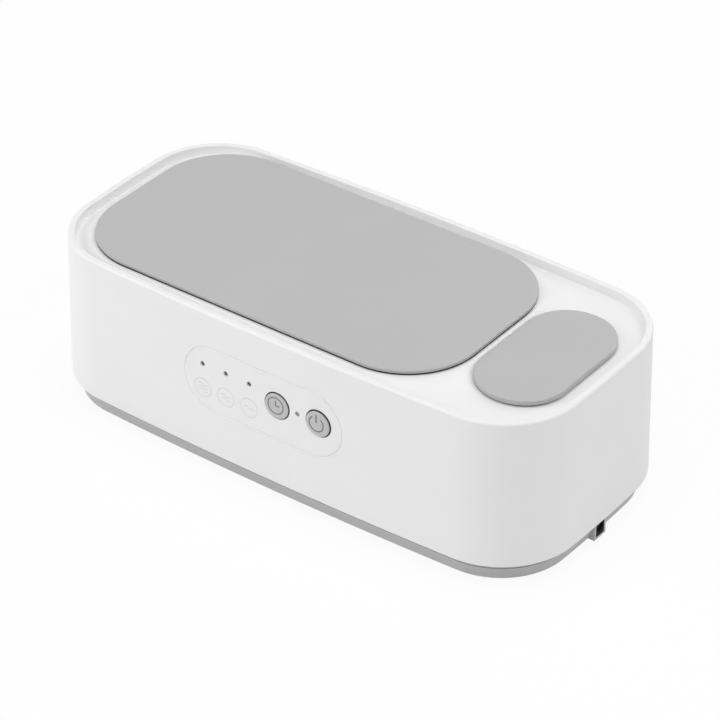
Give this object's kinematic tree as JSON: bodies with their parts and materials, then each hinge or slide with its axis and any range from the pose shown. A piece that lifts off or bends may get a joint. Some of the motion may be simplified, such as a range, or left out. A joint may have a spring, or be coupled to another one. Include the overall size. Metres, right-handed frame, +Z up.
{
  "type": "ultrasonic eyeglass cleaner",
  "caption": "Low ultrasonic cleaner with a rounded white casing, a steel tank under a lift-off grey lid, a small lens well with its own lid, and front push buttons.",
  "frame": {"origin": "middle of the casing's footprint at the level of the feet", "axes": "+X along the length towards the lens well, -Y out of the button panel, +Z up"},
  "size_m": [0.2102, 0.1002, 0.0662],
  "materials": {
    "white_plastic": "fine satin",
    "grey_plastic": "fine satin",
    "clamp_plastic": "as moulded",
    "silicone": "matt",
    "foot_rubber": "matt",
    "stainless": "drawn and brushed",
    "screw_steel": "zinc plated",
    "piezo_ceramic": "silvered",
    "board": "solder mask",
    "black_plastic": "moulded",
    "ferrite": "sintered",
    "winding": "enamelled copper",
    "heatsink_aluminium": "extruded",
    "contact_brass": "bright",
    "lead_sleeve": "sleeved wire",
    "connector_plastic": "moulded",
    "led_epoxy": "clear cap",
    "smoked_plastic": "smoked"
  },
  "bodies": {
    "housing": {"upper_casing": "white_plastic", "control_panel": "white_plastic", "base_cover": "grey_plastic", "flange_clamp": "clamp_plastic", "tank_gasket": "silicone", "lens_well_gasket": "silicone", "rubber_feet": "foot_rubber", "tank": "stainless", "lens_well": "stainless", "clamp_screws": "screw_steel", "driver_board_screws": "screw_steel", "control_board_screws": "screw_steel", "base_screws": "screw_steel", "piezo_disc": "piezo_ceramic", "driver_board": "board", "control_board": "board", "dc_socket": "black_plastic", "switch_bodies": "black_plastic", "driver_transistors": "black_plastic", "driver_chip": "black_plastic", "driver_capacitors": "black_plastic", "transformer_core": "ferrite", "transformer_coil": "winding", "driver_choke": "winding", "driver_heatsink": "heatsink_aluminium", "dc_socket_pin": "contact_brass", "piezo_leads": "lead_sleeve", "control_harness": "lead_sleeve", "inlet_leads": "lead_sleeve", "board_connectors": "connector_plastic", "status_leds": "led_epoxy", "light_pipes": "smoked_plastic"},
    "main_lid": {"main_lid": "grey_plastic", "main_lid_seal": "silicone"},
    "small_lid": {"small_lid": "grey_plastic", "small_lid_seal": "silicone"},
    "timer_button": {"timer_button": "grey_plastic", "timer_plunger": "black_plastic"},
    "power_button": {"power_button": "grey_plastic", "power_plunger": "black_plastic"}
  },
  "joints": [
    {"name": "main_lid_lift", "type": "slide", "parent": "housing", "child": "main_lid", "axis": [0, 0, 1], "range_m": [0, 0.06]},
    {"name": "small_lid_lift", "type": "slide", "parent": "housing", "child": "small_lid", "axis": [0, 0, 1], "range_m": [0, 0.05]},
    {"name": "timer_press", "type": "slide", "parent": "housing", "child": "timer_button", "axis": [0, 1, 0], "range_m": [0, 0.0005], "stiffness_N_per_m": 2400},
    {"name": "power_press", "type": "slide", "parent": "housing", "child": "power_button", "axis": [0, 1, 0], "range_m": [0, 0.0005], "stiffness_N_per_m": 2400}
  ]
}
